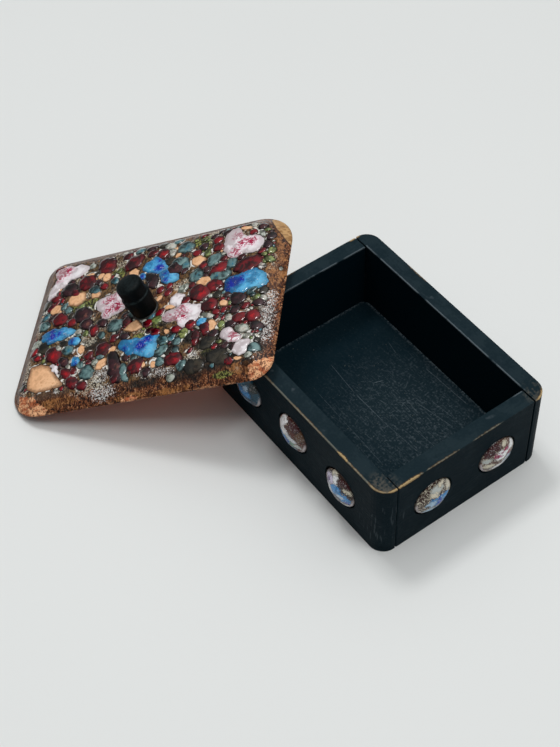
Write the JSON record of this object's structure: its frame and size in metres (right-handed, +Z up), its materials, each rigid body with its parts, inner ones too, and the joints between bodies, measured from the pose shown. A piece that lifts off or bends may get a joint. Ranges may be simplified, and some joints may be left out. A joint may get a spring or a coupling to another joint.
{
  "type": "enamel box",
  "caption": "Small open box of black painted wood with domed enamel discs set in its sides; its enamelled copper lid with a turned knob is lifted off and leans on a rim corner.",
  "frame": {"origin": "centre of the box's underside, on the surface it stands on", "axes": "+X along the box's length, +Y across it, +Z up; the lid leans on the rim corner at -X, -Y"},
  "size_m": [0.1744, 0.1364, 0.0397],
  "materials": {
    "painted_wood": "black paint over wood, satin, worn through along the edges",
    "disc_enamel": "glossy vitreous enamel, white, blue and brown",
    "lid_enamel": "glossy vitreous enamel on copper, brown ground with coloured lumps",
    "knob_lacquer": "black lacquer, satin"
  },
  "bodies": {
    "root": {"long_side_near": "painted_wood", "long_side_far": "painted_wood", "end_left": "painted_wood", "end_right": "painted_wood", "floor_board": "painted_wood", "disc_near_1": "disc_enamel", "disc_near_2": "disc_enamel", "disc_near_3": "disc_enamel", "disc_far_1": "disc_enamel", "disc_far_2": "disc_enamel", "disc_far_3": "disc_enamel", "disc_left_1": "disc_enamel", "disc_left_2": "disc_enamel", "disc_right_1": "disc_enamel", "disc_right_2": "disc_enamel", "lid": "lid_enamel", "knob": "knob_lacquer"}
  },
  "joints": []
}
